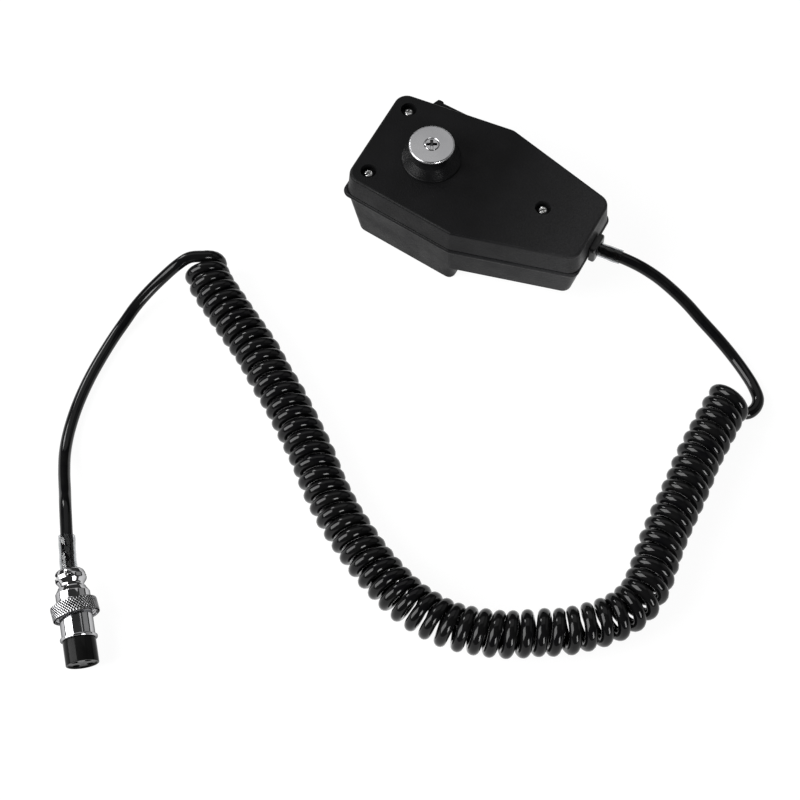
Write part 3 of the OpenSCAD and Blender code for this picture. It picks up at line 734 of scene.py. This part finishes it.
def front_shell():
    rim_foot = SEAM_Z - RIM_H
    levels = [(drop, wall_outline(drop, inset)) for inset, drop in reversed(rounding(FACE_EDGE_R))]
    levels += [(STEP_Z + 3, wall_outline(STEP_Z + 3)), (rim_foot - 0.5, wall_outline(rim_foot - 0.5))]
    levels.append((rim_foot - 0.05, wall_outline(rim_foot)))
    steps = 7
    for k in range(-steps, steps + 1):
        a = math.radians(90 * k / steps)
        height = rim_foot + RIM_H * (1 + math.sin(a)) / 2
        levels.append((height, rim_outline(RIM_ROUND * (1 - math.cos(a)))))
    shell = combine(loft("front_cover", levels), [step_cutter(0, 0)])
    combine(shell, [merge("bay_corners", [bay_corner(-1), bay_corner(1)])])
    inner_r = 3
    cavity = loft("cavity", [
        (WALL, wall_outline(WALL, WALL, inner_r)),
        (rim_foot, wall_outline(rim_foot, WALL, inner_r)),
        (SEAM_Z + 1, wall_outline(rim_foot, WALL, inner_r)),
    ])
    combine(cavity, [step_cutter(-WALL, WALL)])
    combine(shell, [cavity])
    board_posts = ((-3.5, 11), (-3.5, -11), (13, 10.5), (13, -10.5))
    clamp_x, clamp_y, clamp_top = 38.5, 7, EXIT_Z + CORD_R
    posts = [rod(3.6, 8, SEAM_Z - 0.02, x, y) for x, y in SHELL_BOSSES[:2]]
    posts.append(rod(3.6, 9.6, SEAM_Z - 0.02, *SHELL_BOSSES[2]))
    posts += [rod(3, 1 if x < 0 else 9.6, 16.5, x, y) for x, y in board_posts]
    posts.append(rod(3.2, 1, LEVER_Z[0] - 0.4, *PIVOT))
    posts += [rod(2.6, 9.6, clamp_top, clamp_x, y) for y in (-clamp_y, clamp_y)]
    combine(shell, [merge("posts", posts)], "UNION")
    holes = [rod(1.25, 14, SEAM_Z + 1, x, y) for x, y in SHELL_BOSSES]
    holes += [rod(1, 11.5, 18, x, y) for x, y in board_posts]
    holes += [rod(1, 14, clamp_top + 1, clamp_x, y) for y in (-clamp_y, clamp_y)]
    holes.append(rod(PIN_D / 2 + 0.02, 12.9, SEAM_Z, *PIVOT))
    combine(shell, [merge("holes", holes), grille_slots()])
    combine(shell, [lever_window(), cord_notch()])
    even_shading(shell)
    return finish_piece(shell, "shell_plastic", nodes=["front_shell"])


def shell_screws():
    screw = cross_screw("screw", 2, 1.5, 1.2, 16, 3)
    places = [Matrix.Translation((x, y, RECESS_FLOOR_Z)) @ Matrix.Rotation(math.radians(turn), 4, "Z")
              for (x, y), turn in zip(SHELL_BOSSES, (20, 65, 48))]
    screws = copies("cover_screws", screw, places)
    return finish_piece(screws, "plated_screw", nodes=["shell_screws"])


# ---------------------------------------------------------------- hang button

def hang_button():
    place = Matrix.Translation((BUTTON_X, 0, 0))
    r = DISC_D / 2
    top = DISC_Z
    under = top - DISC_T
    disc_profile = soften([(3.1, top), (r, top), (r, under), (1.7, under)], 0.75, 8)
    disc = revolve("hang_disc_turned", [(1.7, top - 1.4)] + disc_profile, 128, place, closed=True)
    finish_piece(disc, "chrome", nodes=["hang_disc"], look="disc_metal")

    foot = BODY_H - 0.02
    foot_r = BASE_D / 2
    cone = [(foot_r, foot), (foot_r, foot + 0.8), (foot_r - 0.5, foot + 1.05)]
    ridges = 7
    for k in range(ridges):
        share = (k + 0.5) / ridges
        radius = foot_r - 0.7 - share * 2.9
        height = foot + 1.05 + share * 2.3
        ridge_r = radius + 0.14
        cone += [(ridge_r, height - 0.1), (ridge_r, height + 0.06), (radius - 0.1, height + 0.12)]
    cone += [(NECK_D / 2 + 1.7, foot + 3.75), (NECK_D / 2, foot + 4), (NECK_D / 2, under), (1.7, under)]
    cone = [(1.7, foot)] + soften(cone, 0.12, 3)
    base = revolve("hang_button_base", cone, 128, place, closed=True, sharp=50)
    finish_piece(base, "button_base", nodes=["hang_base"])

    tip = 28.6
    head = soften([
        (1.5, tip), (1.5, top - 1.35), (2.85, top - 0.2), (2.5, top - 0.04), (0, top + 0.04),
    ], 0.2, 4)
    screw = revolve("hang_button_screw", [(0, tip)] + head, 64)
    combine(screw, [placed(cross_cutter(4.4, 1.25, 2.2), Matrix.Translation((0, 0, top + 0.05)))])
    placed(screw, place @ Matrix.Rotation(math.radians(28), 4, "Z"))
    finish_piece(screw, "plated_screw", nodes=["hang_screw"], look="chrome")


# ---------------------------------------------------------------- talk lever

def talk_lever():
    tab = LEVER_Y + 0.8
    plan = [
        (-10.5, 26.2), (-14, LEVER_Y - 1.3), (-21, LEVER_Y - 0.4), (-31.6, LEVER_Y),
        (-32.3, tab), (-34, tab), (-34.6, LEVER_Y - 0.6), (-35.2, 26), (-35.2, 23.6),
        (-34.3, 21.2), (-33, 19.9), (-18.8, 19.9), (-18.6, 17), (-15.4, 17),
        (-15.2, 18.6), (-7, 18.2), (-5.5, 20.8), (-7, 23.4), (-10.3, 23.7),
    ]
    flat = soften(plan, 0.5, 4, closed=True)
    centre = Vector((-20, 23.5))

    def drawn_in(amount):
        return [tuple(Vector(p) + (centre - Vector(p)).normalized() * amount) for p in flat]

    low = [(LEVER_Z[0] + drop, drawn_in(inset)) for inset, drop in reversed(rounding(0.6, 4))]
    high = [(LEVER_Z[1] - drop, drawn_in(inset)) for inset, drop in rounding(0.6, 4)]
    lever = loft("talk_bar", low + high)
    combine(lever, [rod(2.9, *LEVER_Z, *PIVOT)], "UNION")
    combine(lever, [rod(PIN_D / 2 + 0.05, LEVER_Z[0] - 1, LEVER_Z[1] + 1, *PIVOT)])
    combine(lever, [block((-32.5, 19.95, LEVER_Z[0] - 1), (-20, 21.2, LEVER_Z[1] + 1))], "UNION")
    even_shading(lever)
    return finish_piece(lever, "lever_plastic", "talk_lever", ["ptt_lever"])


# ---------------------------------------------------------------- cord

def along(points, spacing):
    """Points at equal distances along a chain of points, and the chain's length."""
    marks = [0.0]
    for a, b in zip(points, points[1:]):
        marks.append(marks[-1] + (b - a).length)
    count = max(2, round(marks[-1] / spacing))
    even, i = [], 0
    for k in range(count + 1):
        s = marks[-1] * k / count
        while i < len(marks) - 2 and marks[i + 1] < s:
            i += 1
        share = (s - marks[i]) / (marks[i + 1] - marks[i])
        even.append(points[i].lerp(points[i + 1], min(1, share)))
    return even, marks[-1]


def pitch_at(share):
    for (s0, p0), (s1, p1) in zip(COIL_PITCH, COIL_PITCH[1:]):
        if share <= s1:
            return p0 + (p1 - p0) * (share - s0) / (s1 - s0)
    return COIL_PITCH[-1][1]


def helix():
    """Left-handed winding round the coil's axis, from its bottom to its top."""
    axis, length = along(spline([(x, y, COIL_D / 2) for x, y in COIL_ROUTE], 12), 0.5)
    turns = [0.0]
    for k in range(1, len(axis)):
        turns.append(turns[-1] + 1 / pitch_at(k / (len(axis) - 1)))
    scale = HELIX_TURNS / turns[-1]
    count = round(HELIX_TURNS * POINTS_PER_TURN)
    points, i = [], 0
    for n in range(count + 1):
        turn = n / POINTS_PER_TURN
        while i < len(turns) - 2 and turns[i + 1] * scale < turn:
            i += 1
        share = (turn / scale - turns[i]) / (turns[i + 1] - turns[i])
        centre = axis[i].lerp(axis[i + 1], share)
        ahead, behind = axis[min(i + 4, len(axis) - 1)], axis[max(i - 3, 0)]
        across = (ahead - behind).normalized().cross(Vector((0, 0, 1)))
        a = 2 * math.pi * turn
        points.append(centre + HELIX_R * (across * math.sin(a) - Vector((0, 0, math.cos(a)))))
    return points


def plug_matrix():
    """Places the plug: its local Z runs back from the mating face."""
    turn = Matrix.Rotation(math.radians(PLUG_HEADING + 180), 4, "Z")
    dip = Matrix.Rotation(math.radians(90 - PLUG_DIP), 4, "Y")
    return Matrix.Translation(PLUG_NOSE) @ turn @ dip


PLUG = plug_matrix()


def cord_path():
    """Centre of the whole cord, and the parts of it that the two sleeves cover."""
    coil = helix()
    tail = [PLUG @ Vector((0, 0, s)) for s in (PLUG_L + 3, PLUG_L - 2, BULB_S[0])]
    mic_lead = spline(MIC_ROUTE + [tuple(coil[0])], 6, after=coil[3])
    plug_lead = spline([tuple(coil[-1])] + PLUG_ROUTE + [tuple(p) for p in tail], 6, before=coil[-4])
    return mic_lead[:-1] + coil + plug_lead[1:], mic_lead, plug_lead


def cord():
    path, mic_lead, plug_lead = cord_path()
    data = bpy.data.curves.new("curly_cord", "CURVE")
    data.dimensions = "3D"
    data.bevel_depth = CORD_R * MM
    data.bevel_resolution = 6
    data.use_fill_caps = True
    strand = data.splines.new("POLY")
    strand.points.add(len(path) - 1)
    for point, place in zip(strand.points, path):
        point.co = (*(place * MM), 1)
    strand.use_smooth = True
    piece = bpy.data.objects.new("curly_cord", data)
    bpy.context.scene.collection.objects.link(piece)
    finish_piece(piece, "cord_jacket", nodes=["mic_lead", "coiled_cord", "plug_lead"])
    return piece, mic_lead, plug_lead


def sleeve_on(name, path, radius, node):
    """Clear sleeve that follows the cord, a little uneven."""
    def wavy(i, a):
        return radius + 0.06 * math.sin(2 * a + 0.35 * i) + 0.05 * math.sin(3 * a - 0.6 * i)
    return finish_piece(sweep(name, path, wavy, 40, wall=0.3), "sleeve", nodes=[node])


def mic_sleeve(mic_lead):
    even, _ = along([p for p in mic_lead if HALF_L - 5 < p.x < HALF_L + 12.5], 0.5)
    return sleeve_on("cord_sleeve_front", even, CORD_R + 0.55, "mic_end_sleeve")


def plug_sleeve(plug_lead):
    back = PLUG @ Vector((0, 0, BULB_S[1] - 2))
    near = [p for p in plug_lead if (p - back).length < 16.5]
    even, _ = along(near, 0.5)
    return sleeve_on("cord_sleeve_plug", even, CORD_R + 0.8, "plug_end_sleeve")


def strain_bush():
    """Rubber bush with a flange on each side of the cord-end wall."""
    def flat(y, z, r):
        return soften([(-z, -y), (z, -y), (z, y), (-z, y)], r, 8, closed=True)

    x0 = HALF_L + 0.05
    inner_flange, waist = flat(4.8, 5, 1.5), flat(3.6, 3.3, 0.8)
    levels = [(HALF_L - 5.8, inner_flange), (HALF_L - 4.2, inner_flange),
              (HALF_L - 4.15, waist), (x0, waist), (x0 + 0.02, flat(4.8, 3.9, 1.4))]
    outer = rounding(0.8, 5)
    levels += [(x0 + 2.3 - drop, flat(4.8 - inset, 3.9 - inset, 1.4)) for inset, drop in outer]
    place = Matrix.Translation((0, 0, EXIT_Z)) @ Matrix.Rotation(math.radians(90), 4, "Y")
    bush = placed(loft("strain_bush", levels), place)
    bore = placed(rod(CORD_R + 0.6, HALF_L - 7, HALF_L + 5), place)
    combine(bush, [bore])
    even_shading(bush)
    return finish_piece(bush, "soft_rubber", nodes=["strain_relief"])


# ---------------------------------------------------------------- plug

def plug_insert():
    r = INSERT_D / 2
    inner = BARREL_D / 2 - 0.85
    profile = soften([(0, 0.5), (r - 0.7, 0.5), (r - 0.7, 0), (r, 0), (r, LIP_S[0]), (inner, LIP_S[0]),
                      (inner, 17), (0, 17)], 0.22, 4)
    insert = revolve("socket_insert", profile, 96)
    turns = [Matrix.Rotation(math.radians(45 + 90 * k), 4, "Z") for k in range(4)]
    spots = [turn @ Vector((CONTACT_RING_R, 0, 0)) for turn in turns]
    holes = [rod(CONTACT_R, -1, 18, p.x, p.y, 32) for p in spots]
    combine(insert, [merge("holes", holes)])
    placed(insert, PLUG)
    return finish_piece(insert, "insert_plastic", nodes=["plug_insert"])


def plug_barrel():
    r = BARREL_D / 2
    inner = r - 0.8
    front, back = LIP_S
    lip = soften([(r - 0.05, front), (LIP_R, front + 0.15), (LIP_R, back - 0.15), (r, back)], 0.45, 6)
    profile = [(inner, front)] + lip + [(r, SHOULDER_S[0]), (inner, SHOULDER_S[0])]
    barrel = revolve("plug_barrel_turned", profile, 128, PLUG, closed=True)
    return finish_piece(barrel, "chrome", nodes=["plug_barrel"])


def knurl(radius, s, angle):
    """Crossed V grooves round the ring, one way deeper than the other."""
    margin = 0.45
    if radius < RING_D / 2 - 0.01 or not RING_S[0] + margin < s < RING_S[1] - margin:
        return radius

    def groove(phase):
        ridge = abs(2 * (phase % 1) - 1)
        return max(0.0, ridge - 0.4) / 0.6

    turn = KNURL_TEETH * angle / (2 * math.pi)
    lead = KNURL_LEAD * s
    return radius - KNURL_DEPTH * (groove(turn + lead) + 0.4 * groove(turn - lead))


def coupling_ring():
    r = RING_D / 2
    front, back = RING_S
    steps = 26
    outer = [(r, front + (back - front) * (0.09 + 0.82 * k / steps)) for k in range(steps + 1)]
    front_edge = [(THREAD_R + 0.2, front), (r - 0.35, front), (r - 0.08, front + 0.18)]
    collar_r = BARREL_D / 2 + 0.3
    back_edge = [(r - 0.08, back - 0.18), (r - 0.35, back), (collar_r, back), (collar_r, back - 1.2)]
    threads = []
    pitch = 0.8
    count = 4
    for k in range(count):
        s = back - 1.3 - k * pitch
        threads += [(THREAD_R, s), (THREAD_R - 0.35, s - pitch / 2)]
    threads.append((THREAD_R, back - 1.3 - count * pitch + 0.1))
    profile = front_edge + outer + back_edge + threads
    ring = revolve("knurled_nut", profile, 480, closed=True, ripple=knurl, sharp=25)
    # Groove depth at each point, which the knurled_chrome material turns into painted shade in the grooves.
    groove = ring.data.attributes.new("groove", "FLOAT", "POINT")
    for mark, vertex in zip(groove.data, ring.data.vertices):
        sunk = r - vertex.co.xy.length / MM
        mark.value = sunk / KNURL_DEPTH if sunk < 1.6 * KNURL_DEPTH else 0
    middle = Vector((0, 0, (front + back) / 2))
    lean = Matrix.Rotation(math.radians(-RING_TILT), 4, "X")
    tilt = Matrix.Translation(middle) @ lean @ Matrix.Translation(-middle)
    placed(ring, PLUG @ tilt)
    return finish_piece(ring, "knurled_chrome", "ring", ["coupling_ring"])


def clamp_frame():
    return PLUG @ Matrix.Rotation(math.radians(CLAMP_ROLL), 4, "Z")


def bulb_profile():
    low, high = BULB_S
    return soften([
        (0, NECK_S + 0.2), (NECK_R, NECK_S + 0.2), (NECK_R + 0.2, low + 0.5), (BULB_R, low + 2),
        (BULB_R, high - 2.4), (BULB_R - 0.7, high - 0.7), (BULB_R - 1.6, high), (0, high),
    ], 1.3, 6)


def clamp_screw_place(y):
    middle = (BULB_S[0] + BULB_S[1]) / 2 + 0.3
    return Matrix.Translation((0, y, middle)) @ Matrix.Rotation(math.radians(-90), 4, "Y")


def plug_tail():
    """Rear body with its saddle, and the strap that closes on the cord."""
    far = 20
    body = revolve("plug_rear_turned", soften([
        (0, SHOULDER_S[0]), (SHOULDER_R, SHOULDER_S[0]), (SHOULDER_R, SHOULDER_S[1] - 0.4),
        (NECK_R + 0.7, NECK_S - 0.3), (NECK_R + 0.65, NECK_S + 0.1), (NECK_R - 0.1, NECK_S + 0.35),
        (0, NECK_S + 0.35)], 0.4, 5), 96)
    saddle = combine(revolve("saddle", bulb_profile(), 96), [block((-far, -far, 0), (0.25, far, 60))])
    combine(body, [saddle], "UNION")
    combine(body, [rod(PLUG_BORE_R, SHOULDER_S[0] - 1, PLUG_L + 1, segments=64)])
    combine(body, [block((-1, 2.4, 30.4), (4.5, 6.5, 33.6))], sharp=32)
    placed(body, clamp_frame())
    finish_piece(body, "chrome", nodes=["plug_rear_body"])

    strap = combine(revolve("clamp_strap", bulb_profile(), 96), [block((-0.25, -far, 0), (far, far, 60))])
    cuts = [rod(PLUG_BORE_R, NECK_S - 1, PLUG_L + 1, segments=64)]
    cuts.append(block((-far, -far, 0), (far, far, NECK_S + 0.45)))
    for y in (-CLAMP_SCREW_Y, CLAMP_SCREW_Y):
        cuts.append(placed(rod(1.15, 2.6, 8, segments=32), clamp_screw_place(y)))
    combine(strap, cuts)
    placed(strap, clamp_frame())
    finish_piece(strap, "chrome", nodes=["plug_clamp"])

    screw = cross_screw("small_screw", 1, 0.75, 0.7, 6, 1.4)
    seat = Matrix.Translation((0, 0, 2.7))
    places = [clamp_frame() @ clamp_screw_place(y) @ seat for y in (-CLAMP_SCREW_Y, CLAMP_SCREW_Y)]
    screws = copies("strap_screws", screw, places)
    finish_piece(screws, "plated_screw", nodes=["plug_clamp_screws"])
    return body, strap, screws


# ---------------------------------------------------------------- CAD nodes that stay

def finish_cad_nodes():
    """Each CAD node that still shows takes the finish of its material slot."""
    slots = {part["node"]: part["material_slot"] for part in frame["record"]["subparts"]}
    for name, node in CAD.items():
        node.data.materials.clear()
        node.data.materials.append(MATERIALS[slots[name]])


# ---------------------------------------------------------------- stage, light and camera

AIM = Vector((8.43, -82.57, 0)) * MM
AZIMUTH = 28.13
ELEVATION = 61.5
RIGHT = Vector((math.cos(math.radians(AZIMUTH)), math.sin(math.radians(AZIMUTH)), 0))
AWAY = Vector((-RIGHT.y, RIGHT.x, 0))


def softbox(name, azimuth, elevation, distance, size, radiance):
    """Rectangular area light aimed at the object; azimuth runs from straight away to the camera's right."""
    data = bpy.data.lights.new(name, "AREA")
    data.shape = "RECTANGLE"
    data.size, data.size_y = size
    data.energy = radiance * math.pi * size[0] * size[1]
    lamp = bpy.data.objects.new(name, data)
    turn, rise = math.radians(azimuth), math.radians(elevation)
    level = RIGHT * math.sin(turn) + AWAY * math.cos(turn)
    lamp.location = AIM + (level * math.cos(rise) + Vector((0, 0, math.sin(rise)))) * distance
    lamp.rotation_euler = (AIM - lamp.location).to_track_quat("-Z", "Y").to_euler()
    bpy.context.scene.collection.objects.link(lamp)


def studio():
    half = 3.0
    mesh = bpy.data.meshes.new("floor")
    corners = [(-half, -half, 0), (half, -half, 0), (half, half, 0), (-half, half, 0)]
    mesh.from_pydata(corners, [], [(0, 1, 2, 3)])
    floor = bpy.data.objects.new("floor", mesh)
    bpy.context.scene.collection.objects.link(floor)
    material, tree = nodes_of("paper")
    shader = tree.nodes["Principled BSDF"]
    shader.inputs["Base Color"].default_value = (0.1, 0.1, 0.1, 1)
    shader.inputs["Roughness"].default_value = 0.9
    shader.inputs["Specular IOR Level"].default_value = 0
    shader.inputs["Emission Color"].default_value = (1, 1, 1, 1)
    shader.inputs["Emission Strength"].default_value = 0.93
    mesh.materials.append(material)

    softbox("left_box", -104, 33, 1.1, (0.78, 1.0), 8)
    softbox("right_box", 150, 20, 1.1, (0.3, 0.5), 15)
    softbox("far_box", -43, 34, 1.1, (0.2, 0.3), 14)
    softbox("side_fill", 75, 25, 1.1, (0.9, 0.8), 0.3)
    softbox("overhead", 0, 57, 1.2, (1.5, 0.9), 0.68)

    world = bpy.data.worlds.new("room")
    world.use_nodes = True
    world.node_tree.nodes["Background"].inputs["Color"].default_value = (1, 1, 1, 1)
    world.node_tree.nodes["Background"].inputs["Strength"].default_value = 0.05
    bpy.context.scene.world = world
    bpy.context.scene.view_settings.view_transform = "Standard"


def camera():
    distance = 0.8
    data = bpy.data.cameras.new("camera")
    data.sensor_width = 36
    data.lens = 94.74
    data.clip_start = 0.01
    eye = bpy.data.objects.new("camera", data)
    rise = math.radians(ELEVATION)
    eye.location = AIM - AWAY * (distance * math.cos(rise)) + Vector((0, 0, distance * math.sin(rise)))
    eye.rotation_euler = (AIM - eye.location).to_track_quat("-Z", "Y").to_euler()
    bpy.context.scene.collection.objects.link(eye)
    bpy.context.scene.camera = eye


camera()
studio()
curly_cord, mic_lead_path, plug_lead_path = cord()
finish_cad_nodes()
back_shell()
front_shell()
shell_screws()
hang_button()
talk_lever()
on_cord = [mic_sleeve(mic_lead_path), plug_sleeve(plug_lead_path), strain_bush(),
           plug_insert(), plug_barrel(), coupling_ring(), *plug_tail(),
           CAD["insert_screw"], CAD["socket_contacts"]]
